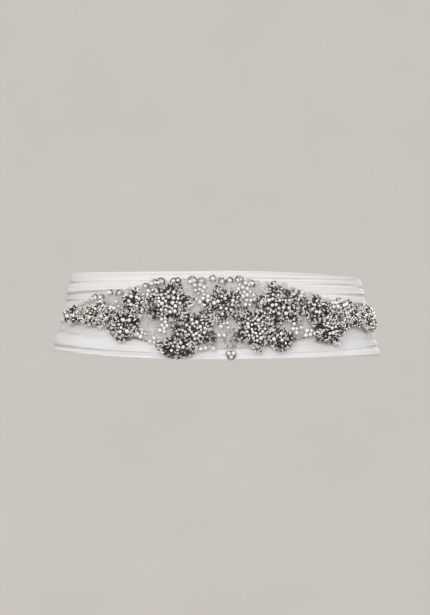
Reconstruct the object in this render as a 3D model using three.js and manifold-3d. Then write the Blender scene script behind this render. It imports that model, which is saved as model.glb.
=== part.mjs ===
// A bridal sash: a soft band of gathered chiffon that wraps the waist and laps at the centre back,
// with a long beaded applique of flowers on fine net sewn across its front.
// Millimetres, +Z up. The front faces -Y, and +X lies on the viewer's right.
// The origin is the middle of the waist, about halfway up the front of the band.
import * as THREE from "three";
import { mergeVertices } from "three/addons/utils/BufferGeometryUtils.js";
import Module from "manifold-3d";

const wasm = await Module();
wasm.setup();

// The general figure that the band is cut for, as ovals that widen from the waist to the hip.
const BAND_TOP = 38.5;
const HIP_DROP = 77;
const WAIST = { halfWidth: 123.5, frontDepth: 89, backDepth: 90 };
const HIP = { halfWidth: 142, frontDepth: 98, backDepth: 105 };
const FLARE_POWER = 1.25;

// The cloth, its ends and its seams.
const CLOTH_WALL = 1.4;
const SEAM_GAP = 0.3;
const FRONT_TURN = degrees(97);
const LAP_LENGTH = 46;
const LAP_CLEARANCE = 0.6;
const LAP_STEP = CLOTH_WALL + LAP_CLEARANCE;
const LAP_EASE_LENGTH = 55;
const BINDING_WIDTH = 9;
const BINDING_EXTRA = 1;

// Each crease is a row, from the upper edge to the lower one, with its height at four places round
// the waist. It sways up and down by sway, from its own phase in degrees, and the fold below it rolls
// out by roll. The last row is the lower edge.
const CREASES = [
  { front: 38.5, left: 37.5, right: 33, back: 29, sway: 0.3, phase: 0, roll: 1.9 },
  { front: 31, left: 29, right: 25.5, back: 22, sway: 1.1, phase: 40, roll: 2.5 },
  { front: 22, left: 20.5, right: 17.5, back: 15.5, sway: 1.2, phase: 190, roll: 2.2 },
  { front: 12, left: 13, right: 9.5, back: 8.5, sway: 0.9, phase: 310, roll: 2.6 },
  { front: 1, left: 4, right: -0.5, back: 1, sway: 1.2, phase: 95, roll: 2.2 },
  { front: -11, left: -5, right: -9, back: -7, sway: 1, phase: 250, roll: 2.5 },
  { front: -21.5, left: -13, right: -18, back: -14, sway: 1.2, phase: 20, roll: 2.8 },
  { front: -32.3, left: -23.5, right: -25, back: -20.5, sway: 0.8, phase: 150, roll: 2.4 },
  { front: -35.5, left: -29, right: -33, back: -27, sway: 0.4, phase: 330, roll: 0 },
];
const SWAY_WAVES = 3;
const ROLL_WAVES = 2;
const ROLL_UNEVEN = 0.3;
// A fold's section: it slopes out from its upper crease, then tucks in sharply over the next fold.
const FOLD_SECTION = [
  { down: 0, out: 0 },
  { down: 0.36, out: 0.82 },
  { down: 0.74, out: 1 },
];
// The applique holds the folds flatter at the front, and the closing gathers them at the back.
const FOLD_DEPTH = { front: 0.5, left: 1.2, right: 1.1, back: 0.35 };
const FOLD_DEPTH_POWER = 6;
const LARGEST_ROLL = Math.max(...CREASES.map((crease) => crease.roll));

// The net ground of the applique is a spindle that swells around each motif.
const NET_WALL = 1;
const NET_GAP = 0.4;
const NET_MARGIN = 1.8;
const NET_SPINDLE = { halfLength: 166, upper: 29, lower: -25, middle: 1, tipHalfHeight: 2.5 };
const SPINDLE_POWER = { upper: { left: 1.5, right: 2 }, lower: { left: 2.5, right: 2 } };
// Bead loops scallop its upper edge.
const SCALLOP_PITCH = 8.2;
const SCALLOP_HEIGHT = 2.4;

// Each motif is a row: its place along the band from the centre front, its height on the band,
// half its length and half its height, the number of petals and the angle of the first one.
// A motif with no petals is a pointed spray or leaf.
const MOTIFS = [
  { name: "spray_left_tip", along: -132, height: 2, halfLong: 15, halfTall: 7, petals: 0, first: 0 },
  { name: "bloom_left_outer", along: -104, height: 2, halfLong: 14, halfTall: 10.5, petals: 5, first: 10 },
  { name: "bloom_left_low", along: -75, height: -8, halfLong: 14.5, halfTall: 11.5, petals: 5, first: -25 },
  { name: "bloom_left_high", along: -70, height: 12.5, halfLong: 11, halfTall: 9.5, petals: 5, first: 90 },
  { name: "bloom_left_large", along: -39, height: 12, halfLong: 18, halfTall: 16, petals: 5, first: 75 },
  { name: "bloom_left_centre", along: -17, height: -11, halfLong: 17, halfTall: 14.5, petals: 5, first: 40 },
  { name: "leaf_left", along: -29, height: -25, halfLong: 15, halfTall: 9, petals: 0, first: 0 },
  { name: "bloom_centre", along: 7, height: 10, halfLong: 16, halfTall: 14, petals: 5, first: 110 },
  { name: "bloom_right_centre", along: 32, height: -10, halfLong: 16, halfTall: 17, petals: 5, first: 60 },
  { name: "leaf_right", along: 51, height: -18, halfLong: 11, halfTall: 9.5, petals: 0, first: 0 },
  { name: "bloom_right_large", along: 54, height: 10, halfLong: 19, halfTall: 17, petals: 5, first: 30 },
  { name: "bloom_right_high", along: 88, height: 6.5, halfLong: 13, halfTall: 10.5, petals: 5, first: 90 },
  { name: "bloom_right_low", along: 96, height: -11.5, halfLong: 15, halfTall: 11, petals: 5, first: -70 },
  { name: "bloom_right_outer", along: 123, height: 1.5, halfLong: 13, halfTall: 10.5, petals: 5, first: 20 },
  { name: "spray_right_tip", along: 149, height: -1, halfLong: 17, halfTall: 10.5, petals: 0, first: 0 },
];
const MOTIF_RISE = 3.4;
const MOTIF_GAP = 0.35;
const PETAL_NOTCH = 0.24;
const PETAL_RIDGE = 0.18;
const SPRAY_POINT = 1.35;
// The crown of a motif in rings from its eye to its rim, as shares of its reach and of its rise.
const EYE_RISE = 0.5;
const CROWN = [
  { reach: 0.4, rise: 1 },
  { reach: 0.78, rise: 0.86 },
  { reach: 1, rise: 0.34 },
];
const SOLE_RINGS = [0.55, 1];

// Pearls on a round backing hang below the net at the front.
const PEARL_DROP = { along: 12, height: -32, pearls: 3, diameter: 3.8, spread: 2.2 };
const DROP_BACKING = { radius: 3.6, wall: 1.2 };

// How finely each piece is divided.
const FRONT_STEPS = 46;
const BACK_STEPS = 14;
const BINDING_STEPS = 2;
const NET_STEPS = 120;
const NET_ROWS = 3;
const MOTIF_SECTORS = 30;
const BACKING_SIDES = 18;
const PEARL_STEPS = { round: 10, down: 7 };

const chiffon = new THREE.MeshStandardMaterial({ color: 0xe6e3df, roughness: 0.85, metalness: 0 });
const net = new THREE.MeshStandardMaterial({ color: 0xc4b8b2, roughness: 0.8, metalness: 0 });
const beads = new THREE.MeshStandardMaterial({ color: 0x8f8b88, roughness: 0.35, metalness: 0.6 });
const pearl = new THREE.MeshStandardMaterial({ color: 0xece6df, roughness: 0.25, metalness: 0 });

function degrees(value) {
  return THREE.MathUtils.degToRad(value);
}

// A row's value at a turn, where turn 0 is the centre front and a positive turn goes to the right.
function roundTheWaist(row, turn, power = 2) {
  const lengthwise = Math.cos(turn) >= 0 ? row.front : row.back;
  const sideways = Math.sin(turn) < 0 ? row.left : row.right;
  return THREE.MathUtils.lerp(lengthwise, sideways, Math.abs(Math.sin(turn)) ** power);
}

// One size of the figure at a height, between its waist and its hip.
function figure(size, height) {
  const share = Math.max(0, (BAND_TOP - height) / HIP_DROP);
  return THREE.MathUtils.lerp(WAIST[size], HIP[size], share ** FLARE_POWER);
}

// The point at a turn and a height that stands out from the figure by a distance.
function figurePoint(turn, height, out) {
  const width = figure("halfWidth", height);
  const depth = figure(Math.cos(turn) >= 0 ? "frontDepth" : "backDepth", height);
  const facing = new THREE.Vector2(Math.sin(turn) / width, -Math.cos(turn) / depth).normalize();
  return new THREE.Vector3(
    width * Math.sin(turn) + out * facing.x,
    -depth * Math.cos(turn) + out * facing.y,
    height,
  );
}

// The oval halfway up the band, which measures lengths from the centre front to the centre back.
const halfWaistLine = new THREE.EllipseCurve(
  0,
  0,
  figure("halfWidth", 0),
  (figure("frontDepth", 0) + figure("backDepth", 0)) / 2,
  -Math.PI / 2,
  Math.PI / 2,
);

function turnAt(along) {
  return Math.sign(along) * Math.PI * halfWaistLine.getUtoTmapping(0, Math.abs(along));
}

function creaseHeight(crease, turn) {
  return roundTheWaist(crease, turn) + crease.sway * Math.sin(SWAY_WAVES * turn + degrees(crease.phase));
}

// The folds are deepest at the sides and flatten quickly towards the front and the back.
function foldDepth(turn) {
  return roundTheWaist(FOLD_DEPTH, turn, FOLD_DEPTH_POWER);
}

function foldRoll(crease, turn) {
  const uneven = 1 - ROLL_UNEVEN * (1 + Math.sin(ROLL_WAVES * turn + degrees(crease.phase)));
  return crease.roll * uneven * foldDepth(turn);
}

// The band's section at a turn, as heights and distances out, from the lower edge to the upper one.
function bandSection(turn) {
  const section = [];
  CREASES.forEach((crease, i) => {
    const height = creaseHeight(crease, turn);
    const next = CREASES[i + 1];
    if (!next) {
      section.push({ height, out: 0 });
      return;
    }
    const roll = foldRoll(crease, turn);
    for (const { down, out } of FOLD_SECTION) {
      const lowered = THREE.MathUtils.lerp(height, creaseHeight(next, turn), down);
      section.push({ height: lowered, out: out * roll });
    }
  });
  return section.reverse();
}

function meshGeometry(points, triangles) {
  const geometry = new THREE.BufferGeometry().setFromPoints(points);
  geometry.setIndex(triangles);
  geometry.computeVertexNormals();
  return geometry;
}

// A closed wall from two grids of points, where columns run to the right and rows run up.
function wallGeometry(outer, inner) {
  const columns = outer.length;
  const rows = outer[0].length;
  const end = columns - 1;
  const top = rows - 1;
  const points = [...outer.flat(), ...inner.flat()];
  const outside = (column, row) => column * rows + row;
  const inside = (column, row) => columns * rows + outside(column, row);
  const triangles = [];
  const quad = (a, b, c, d) => triangles.push(a, b, c, a, c, d);
  for (let i = 0; i < end; i++) {
    for (let j = 0; j < top; j++) {
      quad(outside(i, j), outside(i + 1, j), outside(i + 1, j + 1), outside(i, j + 1));
      quad(inside(i, j), inside(i, j + 1), inside(i + 1, j + 1), inside(i + 1, j));
    }
    quad(inside(i, 0), inside(i + 1, 0), outside(i + 1, 0), outside(i, 0));
    quad(outside(i, top), outside(i + 1, top), inside(i + 1, top), inside(i, top));
  }
  for (let j = 0; j < top; j++) {
    quad(inside(0, j), outside(0, j), outside(0, j + 1), inside(0, j + 1));
    quad(outside(end, j), inside(end, j), inside(end, j + 1), outside(end, j + 1));
  }
  return meshGeometry(points, triangles);
}

// A stretch of the band between two turns. The shift moves it in under the lap, and face and back
// give its thickness.
function bandStretch(name, from, to, steps, { shift = () => 0, face = 0, back = CLOTH_WALL } = {}) {
  const outer = [];
  const inner = [];
  for (let i = 0; i <= steps; i++) {
    const turn = THREE.MathUtils.lerp(from, to, i / steps);
    const section = bandSection(turn);
    const place = (offset) => section.map(({ height, out }) => figurePoint(turn, height, out + offset));
    outer.push(place(face - shift(turn)));
    inner.push(place(-back - shift(turn)));
  }
  const stretch = new THREE.Mesh(wallGeometry(outer, inner), chiffon);
  stretch.name = name;
  return stretch;
}

// The front stretch and the two back stretches of the band, with the right end lapped over the left.
function makeBand() {
  const band = new THREE.Group();
  const backTurn = (length) => length / figure("halfWidth", 0);
  const sideSeam = SEAM_GAP / 2 / figure("backDepth", 0);
  const seam = backTurn(SEAM_GAP / 2);
  const halfLap = backTurn(LAP_LENGTH / 2);
  const binding = backTurn(BINDING_WIDTH);
  const ease = backTurn(LAP_EASE_LENGTH);
  const lapStart = Math.PI - halfLap;
  const lapEnd = Math.PI + halfLap;
  const easeIn = (turn) => LAP_STEP * THREE.MathUtils.smoothstep(-turn, lapStart - ease, lapStart);

  band.add(bandStretch("sash_front", -FRONT_TURN + sideSeam, FRONT_TURN - sideSeam, FRONT_STEPS));
  band.add(bandStretch("sash_back_right", FRONT_TURN + sideSeam, lapEnd - binding - seam, BACK_STEPS));
  band.add(
    bandStretch("end_binding_over", lapEnd - binding + seam, lapEnd, BINDING_STEPS, { face: BINDING_EXTRA }),
  );
  band.add(
    bandStretch("sash_back_left", -lapEnd + binding + seam, -FRONT_TURN - sideSeam, BACK_STEPS, {
      shift: easeIn,
    }),
  );
  band.add(
    bandStretch("end_binding_under", -lapEnd, -lapEnd + binding - seam, BINDING_STEPS, {
      shift: easeIn,
      back: CLOTH_WALL + BINDING_EXTRA,
    }),
  );
  return band;
}

// The net lies on the crests of the folds, and the motifs lie on the net.
function netOut(turn) {
  return LARGEST_ROLL * foldDepth(turn) + NET_GAP;
}

// The net's upper edge where side is 1, or its lower edge where side is -1.
function netEdge(along, side) {
  const { halfLength, upper, lower, middle, tipHalfHeight } = NET_SPINDLE;
  const powers = side > 0 ? SPINDLE_POWER.upper : SPINDLE_POWER.lower;
  const power = along < 0 ? powers.left : powers.right;
  const taper = Math.max(0, 1 - (along / halfLength) ** 2) ** power;
  let edge = side * tipHalfHeight + taper * (side > 0 ? upper : lower) + middle * (1 - taper);
  for (const motif of MOTIFS) {
    const offset = (along - motif.along) / (motif.halfLong + NET_MARGIN);
    if (Math.abs(offset) >= 1) continue;
    const reach = (motif.halfTall + NET_MARGIN) * Math.sqrt(1 - offset ** 2);
    edge = side * Math.max(side * edge, side * (motif.height + side * reach));
  }
  return side > 0 ? edge + SCALLOP_HEIGHT * Math.abs(Math.sin((Math.PI * along) / SCALLOP_PITCH)) : edge;
}

function makeNet() {
  const outer = [];
  const inner = [];
  const last = MOTIFS[MOTIFS.length - 1];
  const from = MOTIFS[0].along - MOTIFS[0].halfLong - NET_MARGIN;
  const to = last.along + last.halfLong + NET_MARGIN;
  for (let i = 0; i <= NET_STEPS; i++) {
    const along = THREE.MathUtils.lerp(from, to, i / NET_STEPS);
    const turn = turnAt(along);
    const heights = Array.from({ length: NET_ROWS + 1 }, (_, j) =>
      THREE.MathUtils.lerp(netEdge(along, -1), netEdge(along, 1), j / NET_ROWS),
    );
    outer.push(heights.map((height) => figurePoint(turn, height, netOut(turn) + NET_WALL)));
    inner.push(heights.map((height) => figurePoint(turn, height, netOut(turn))));
  }
  const ground = new THREE.Mesh(wallGeometry(outer, inner), net);
  ground.name = "applique_net";
  return ground;
}

// A motif's outline in one direction from its eye, before its neighbours crowd it.
function motifReach(motif, direction) {
  const cos = Math.cos(direction);
  const sin = Math.sin(direction);
  const petal = Math.abs(Math.cos((motif.petals / 2) * (direction - degrees(motif.first))));
  const shape = motif.petals
    ? 1 - PETAL_NOTCH * (1 - petal)
    : (Math.abs(cos) ** SPRAY_POINT + Math.abs(sin) ** SPRAY_POINT) ** (-1 / SPRAY_POINT);
  return new THREE.Vector2(motif.halfLong * cos * shape, motif.halfTall * sin * shape);
}

// The same outline, held back from the line that parts the motif from each neighbour.
function fittedReach(motif, direction) {
  const reach = motifReach(motif, direction);
  let share = 1;
  for (const other of MOTIFS) {
    if (other === motif) continue;
    const apart = new THREE.Vector2(other.along - motif.along, other.height - motif.height);
    const ownSize = motif.halfLong + motif.halfTall;
    const otherSize = other.halfLong + other.halfTall;
    const limit = (apart.length() * ownSize) / (ownSize + otherSize) - MOTIF_GAP / 2;
    const towards = reach.dot(apart.normalize());
    if (towards > limit) share = Math.min(share, limit / towards);
  }
  return reach.multiplyScalar(share);
}

function motifPoint(motif, direction, share, rise) {
  const place = fittedReach(motif, direction).multiplyScalar(share);
  const turn = turnAt(motif.along + place.x);
  return figurePoint(turn, motif.height + place.y, netOut(turn) + NET_WALL + MOTIF_GAP + rise);
}

// A motif is a domed solid: a crown of raised petals over a sole that follows the net.
function makeMotif(motif) {
  const points = [motifPoint(motif, 0, 0, MOTIF_RISE * EYE_RISE), motifPoint(motif, 0, 0, 0)];
  const [eye, heel] = [0, 1];
  const ring = (share, rise) => {
    const start = points.length;
    for (let k = 0; k < MOTIF_SECTORS; k++) {
      const fromFirst = (2 * Math.PI * k) / MOTIF_SECTORS;
      const ridge = 1 - PETAL_RIDGE * (1 - Math.cos(motif.petals * fromFirst)) * share;
      points.push(motifPoint(motif, fromFirst + degrees(motif.first), share, rise * ridge));
    }
    return (k) => start + (k % MOTIF_SECTORS);
  };
  const crown = CROWN.map(({ reach, rise }) => ring(reach, rise * MOTIF_RISE));
  const sole = SOLE_RINGS.map((share) => ring(share, 0));
  const layers = [...crown, ...sole.reverse()];
  const triangles = [];
  for (let k = 0; k < MOTIF_SECTORS; k++) {
    triangles.push(eye, layers[0](k), layers[0](k + 1));
    for (let i = 0; i + 1 < layers.length; i++) {
      const [near, far] = [layers[i], layers[i + 1]];
      triangles.push(near(k), far(k), far(k + 1), near(k), far(k + 1), near(k + 1));
    }
    const innermost = layers[layers.length - 1];
    triangles.push(heel, innermost(k + 1), innermost(k));
  }
  const mesh = new THREE.Mesh(meshGeometry(points, triangles), beads);
  mesh.name = motif.name;
  return mesh;
}

function solidOf(geometry) {
  geometry.deleteAttribute("normal");
  geometry.deleteAttribute("uv");
  const welded = mergeVertices(geometry);
  return new wasm.Manifold(
    new wasm.Mesh({
      numProp: 3,
      vertProperties: new Float32Array(welded.getAttribute("position").array),
      triVerts: new Uint32Array(welded.index.array),
    }),
  );
}

function geometryOf(solid) {
  const mesh = solid.getMesh();
  const geometry = new THREE.BufferGeometry();
  geometry.setAttribute("position", new THREE.BufferAttribute(mesh.vertProperties, mesh.numProp));
  geometry.setIndex(new THREE.BufferAttribute(mesh.triVerts, 1));
  geometry.computeVertexNormals();
  return geometry;
}

// A ring of pearls, fused to a round backing that lies on the folds.
function makePearlDrop() {
  const { along, height, pearls, diameter, spread } = PEARL_DROP;
  const { radius, wall } = DROP_BACKING;
  const turn = turnAt(along);
  const foot = figurePoint(turn, height, netOut(turn));
  const out = figurePoint(turn, height, netOut(turn) + 1).sub(foot);
  const facing = new THREE.Quaternion().setFromUnitVectors(new THREE.Vector3(0, -1, 0), out);
  const placed = (geometry) => solidOf(geometry.applyQuaternion(facing).translate(foot.x, foot.y, foot.z));

  const backing = new THREE.CylinderGeometry(radius, radius, wall, BACKING_SIDES);
  let drop = placed(backing.translate(0, -wall / 2, 0));
  for (let k = 0; k < pearls; k++) {
    const angle = (2 * Math.PI * k) / pearls;
    const ball = new THREE.SphereGeometry(diameter / 2, PEARL_STEPS.round, PEARL_STEPS.down);
    ball.translate(spread * Math.sin(angle), -(diameter + wall) / 2, -spread * Math.cos(angle));
    drop = drop.add(placed(ball));
  }
  const mesh = new THREE.Mesh(geometryOf(drop), pearl);
  mesh.name = "pearl_drop";
  return mesh;
}

const sash = new THREE.Group();
sash.name = "bridal_sash";
sash.add(makeBand(), makeNet(), ...MOTIFS.map(makeMotif), makePearlDrop());

export default sash;
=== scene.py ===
# %% [markdown]
# # A beaded bridal sash
# A bridal sash is a soft band of gathered chiffon that wraps the waist and laps at the centre back.
# A long applique of beaded flowers on fine net is sewn across its front. This lesson dresses the
# fixed frame of the sash in cloth, net, pearls and glass beads, one step to a cell.
# Sizes are written in millimetres and turned into metres where a mesh is made.

# %% Load the frame
import math

import bpy
import numpy as np
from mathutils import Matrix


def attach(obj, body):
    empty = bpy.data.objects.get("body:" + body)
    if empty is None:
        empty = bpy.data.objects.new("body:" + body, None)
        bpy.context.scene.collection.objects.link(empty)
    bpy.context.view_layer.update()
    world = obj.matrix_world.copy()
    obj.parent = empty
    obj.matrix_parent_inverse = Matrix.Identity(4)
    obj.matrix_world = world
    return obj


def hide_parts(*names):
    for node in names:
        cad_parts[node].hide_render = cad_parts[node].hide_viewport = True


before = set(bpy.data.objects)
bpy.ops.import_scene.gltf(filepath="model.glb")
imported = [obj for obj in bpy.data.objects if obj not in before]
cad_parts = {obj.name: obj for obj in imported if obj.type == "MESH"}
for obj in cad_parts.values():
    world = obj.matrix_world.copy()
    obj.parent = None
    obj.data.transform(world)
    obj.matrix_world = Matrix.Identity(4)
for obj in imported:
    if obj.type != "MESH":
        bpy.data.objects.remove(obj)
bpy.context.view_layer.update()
MM = 0.001
print("nodes in the frame:", len(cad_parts))

# %% [markdown]
# ## The camera
# The photograph looks level at the front of the sash from a few metres away. Its scale at the middle
# of the sash and the pixel where the sash's origin lies give the lens and the camera's place, so the
# frame of the render is the frame of the photograph.

# %% Camera
PHOTO_WIDTH, PHOTO_HEIGHT = 430, 615
ORIGIN_PIXEL = (215.5, 316.5)
MM_PER_PIXEL = 0.864
CAMERA_DISTANCE = 3000
SENSOR = 36

camera_data = bpy.data.cameras.new("photo_view")
camera_data.sensor_width = SENSOR
camera_data.lens = SENSOR * CAMERA_DISTANCE / (PHOTO_HEIGHT * MM_PER_PIXEL)
camera = bpy.data.objects.new("photo_view", camera_data)
camera.location = (
    MM * MM_PER_PIXEL * (PHOTO_WIDTH / 2 - ORIGIN_PIXEL[0]),
    -MM * CAMERA_DISTANCE,
    MM * MM_PER_PIXEL * (ORIGIN_PIXEL[1] - PHOTO_HEIGHT / 2),
)
camera.rotation_euler = (math.radians(90), 0, 0)
bpy.context.scene.collection.objects.link(camera)
bpy.context.scene.camera = camera
print("lens:", round(camera_data.lens, 1), "mm")

# %% [markdown]
# ## The figure under the cloth
# The band is cut for a general figure, a stack of ovals that widen from the waist to the hip. Every
# piece is placed by a turn round that figure, a height and a distance out from it. Turn 0 is the
# centre front and a positive turn goes to the right, so one small set of formulas serves the cloth,
# the net and each bead.

# %% Figure
BAND_TOP = 38.5
HIP_DROP = 77
WAIST = {"half_width": 123.5, "front_depth": 89, "back_depth": 90}
HIP = {"half_width": 142, "front_depth": 98, "back_depth": 105}
FLARE_POWER = 1.25


def round_the_waist(row, turn, power=2):
    """A row's value at a turn, blended between its front, left, right and back columns."""
    lengthwise = np.where(np.cos(turn) >= 0, row["front"], row["back"])
    sideways = np.where(np.sin(turn) < 0, row["left"], row["right"])
    return lengthwise + (sideways - lengthwise) * np.abs(np.sin(turn)) ** power


def figure(size, height):
    """One size of the figure at a height."""
    share = np.maximum(0, (BAND_TOP - height) / HIP_DROP) ** FLARE_POWER
    return WAIST[size] + (HIP[size] - WAIST[size]) * share


def figure_points(turn, height, out):
    """Points at turns and heights that stand out from the figure."""
    turn, height, out = np.broadcast_arrays(turn, height, out)
    width = figure("half_width", height)
    front, back = figure("front_depth", height), figure("back_depth", height)
    depth = np.where(np.cos(turn) >= 0, front, back)
    facing = np.stack([np.sin(turn) / width, -np.cos(turn) / depth])
    facing = facing / np.linalg.norm(facing, axis=0)
    sideways = width * np.sin(turn) + out * facing[0]
    lengthwise = -depth * np.cos(turn) + out * facing[1]
    return np.stack([sideways, lengthwise, height], axis=-1)


print("half width at the origin:", round(figure("half_width", 0), 1), "mm")

# %% Length along the band
LENGTH_STEPS = 2000
length_turns = np.linspace(0, math.pi, LENGTH_STEPS)
half_depth = (figure("front_depth", 0) + figure("back_depth", 0)) / 2
length_speed = np.hypot(figure("half_width", 0) * np.cos(length_turns), half_depth * np.sin(length_turns))
length_table = np.concatenate([[0], np.cumsum((length_speed[1:] + length_speed[:-1]) / 2)])
length_table = length_table * (length_turns[1] - length_turns[0])


def turn_at(along):
    """The turn at a length along the middle of the band, measured from the centre front."""
    return np.sign(along) * np.interp(np.abs(along), length_table, length_turns)


print("half the waist line:", round(length_table[-1]), "mm")

# %% [markdown]
# ## Folds of the band
# The chiffon is gathered into soft horizontal folds that wander up and down and fade in and out.
# Each fold swells slowly below its upper crease, and then tucks in sharply over the next one. The
# applique holds the folds flatter at the front. The table has a row for each crease, with its height
# at four places round the waist, how far it sways, and how far the fold below it rolls out.

# %% Folds
CREASE_COLUMNS = ("front", "left", "right", "back", "sway", "phase", "roll")
CREASE_ROWS = [
    (38.5, 37.5, 33, 29, 0.3, 0, 1.9),
    (31, 29, 25.5, 22, 1.1, 40, 2.5),
    (22, 20.5, 17.5, 15.5, 1.2, 190, 2.2),
    (12, 13, 9.5, 8.5, 0.9, 310, 2.6),
    (1, 4, -0.5, 1, 1.2, 95, 2.2),
    (-11, -5, -9, -7, 1, 250, 2.5),
    (-21.5, -13, -18, -14, 1.2, 20, 2.8),
    (-32.3, -23.5, -25, -20.5, 0.8, 150, 2.4),
    (-35.5, -29, -33, -27, 0.4, 330, 0),
]
CREASES = [dict(zip(CREASE_COLUMNS, row)) for row in CREASE_ROWS]
LARGEST_ROLL = max(crease["roll"] for crease in CREASES)
print("folds round the band:", len(CREASES) - 1)

# %% Form of a fold
FOLD_DEPTH = {"front": 0.5, "left": 1.2, "right": 1.1, "back": 0.35}
FOLD_DEPTH_POWER = 6
SWAY_WAVES = 3
ROLL_WAVES = 2
ROLL_UNEVEN = 0.3
FOLD_CREST = 0.83
FACE_FLOOR = {"front": 0.76, "back": 0.35}
FACE_FLOOR_POWER = 12
FOLD_SWELL = 2.2


def crease_height(crease, turn):
    sway = np.sin(SWAY_WAVES * turn + math.radians(crease["phase"]))
    return round_the_waist(crease, turn) + crease["sway"] * sway


def fold_depth(turn):
    """The folds are deepest at the sides and flatten quickly towards the front and the back."""
    return round_the_waist(FOLD_DEPTH, turn, FOLD_DEPTH_POWER)


def fold_roll(crease, turn):
    uneven = 1 - ROLL_UNEVEN * (1 + np.sin(ROLL_WAVES * turn + math.radians(crease["phase"])))
    return crease["roll"] * uneven * fold_depth(turn)


def crease_floor(turn):
    """How far the creases stay up, as a share of the roll: they are deep only at the very sides."""
    floor = np.where(np.cos(turn) >= 0, FACE_FLOOR["front"], FACE_FLOOR["back"])
    return floor * (1 - np.abs(np.sin(turn)) ** FACE_FLOOR_POWER)


def fold_profile(down):
    """How far a fold stands out at a share of the way down from its crease to the next one."""
    swelling = 1 - np.abs(1 - down / FOLD_CREST) ** FOLD_SWELL
    tucking = np.sqrt(np.maximum(0, 1 - ((down - FOLD_CREST) / (1 - FOLD_CREST)) ** 2))
    return np.where(down < FOLD_CREST, swelling, tucking)


print("folds stand out at most:", LARGEST_ROLL * FOLD_DEPTH["left"], "mm")

# %% [markdown]
# ## Fine creases
# Between the large folds the thin cloth carries finer creases, some long and crisp, some short and
# faint. They are listed as soft troughs, each from one turn to another, with its height at
# both ends, its depth and its width. The hidden back has similar ones, drawn in towards the closing,
# and short gathers run into the binding of each end.

# %% Fine creases
FINE_COLUMNS = ("start", "end", "start_height", "end_height", "depth", "width")
FINE_ROWS = [
    (-74, -40, 20.6, 19.6, 0.6, 1.7),
    (-88, -66, 29.6, 28.6, 0.25, 1.0),
    (-60, -24, 34, 33, 0.25, 1.1),
    (-84, -60, 24.8, 23.6, 0.2, 0.8),
    (-86, -62, 14.6, 12.6, 0.35, 1.2),
    (-76, -50, 9.2, 7.6, 0.35, 0.8),
    (-88, -34, -11.4, -19.2, 0.5, 1.1),
    (-82, -44, -15.2, -21, 0.25, 0.9),
    (-90, -40, -21.5, -29.5, 0.45, 1.1),
    (-86, -56, -26, -27.6, 0.2, 0.9),
    (-52, -8, -30.6, -33.4, 0.35, 0.7),
    (38, 74, 27.2, 26.2, 0.9, 0.7),
    (34, 84, 31.6, 29.4, 0.35, 0.9),
    (42, 88, 18.4, 17.2, 0.6, 0.8),
    (50, 88, 22.8, 21.4, 0.35, 0.7),
    (50, 90, 11.4, 9.6, 0.5, 0.8),
    (40, 68, -17.4, -19, 0.5, 0.8),
    (48, 90, -12.8, -10.8, 0.4, 0.7),
    (-4, 62, -32.6, -29.2, 0.7, 0.7),
    (40, 100, -30, -24.6, 0.5, 0.7),
    (18, 62, -25.4, -22.6, 0.4, 0.7),
    (-34, 14, -33.2, -33.6, 0.3, 0.6),
    (-44, 12, 34.4, 35, 0.3, 0.8),
    (-12, 46, 33.2, 30.8, 0.35, 0.8),
    (8, 62, 36, 33.2, 0.3, 0.7),
    (92, 158, 30.4, 25.4, 0.65, 1.2),
    (128, 171, 22.2, 19.2, 0.25, 0.7),
    (96, 133, 15.4, 12.2, 0.7, 1.3),
    (116, 172, 7.4, 4.6, 0.45, 0.8),
    (101, 146, -1.8, -2.8, 0.25, 0.7),
    (99, 166, -8.4, -4.4, 0.55, 1.1),
    (140, 173, -12.8, -10.2, 0.7, 0.9),
    (98, 150, -23, -17.4, 0.6, 1),
    (131, 169, -25, -23.4, 0.3, 0.6),
    (-166, -94, 23.8, 31.2, 0.6, 1.1),
    (-170, -136, 18.6, 20.4, 0.3, 0.7),
    (-141, -96, 10.6, 15.2, 0.65, 1.2),
    (-172, -118, 4.4, 8.2, 0.5, 0.8),
    (-134, -92, -1.2, -0.6, 0.25, 0.7),
    (-168, -104, -5.2, -8.6, 0.6, 1),
    (-173, -144, -10.6, -12.2, 0.6, 0.8),
    (-156, -98, -16.8, -20.6, 0.55, 1.1),
    (-171, -127, -23.6, -25.2, 0.3, 0.6),
    (168, 204, 25.2, 24.8, 0.5, 0.8),
    (158, 214, 17.6, 16.6, 0.4, 0.7),
    (170, 202, 12.8, 12.4, 0.6, 0.8),
    (162, 210, 7.6, 8.4, 0.35, 0.6),
    (168, 204, 2.2, 2, 0.6, 0.9),
    (155, 217, -3.8, -2.4, 0.45, 0.7),
    (169, 203, -7.4, -7, 0.5, 0.7),
    (163, 209, -15, -14.2, 0.4, 0.6),
    (168, 204, -19.6, -19, 0.55, 0.8),
    (-208, -164, 22.8, 23.4, 0.5, 0.8),
    (-212, -160, 10.6, 11.4, 0.45, 0.7),
    (-204, -168, 0.4, 0.6, 0.55, 0.8),
    (-210, -162, -13.2, -14.2, 0.5, 0.7),
]
FINE_CREASES = [dict(zip(FINE_COLUMNS, row)) for row in FINE_ROWS]
print("fine creases:", len(FINE_CREASES))

# %% Depth of the fine creases
FINE_STRENGTH = 1.5
CRINKLE = 0.08
CRINKLE_SPACING = 2.6
CRINKLE_WANDER = [(1.3, 2, 0), (0.7, 5, 1)]


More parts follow.
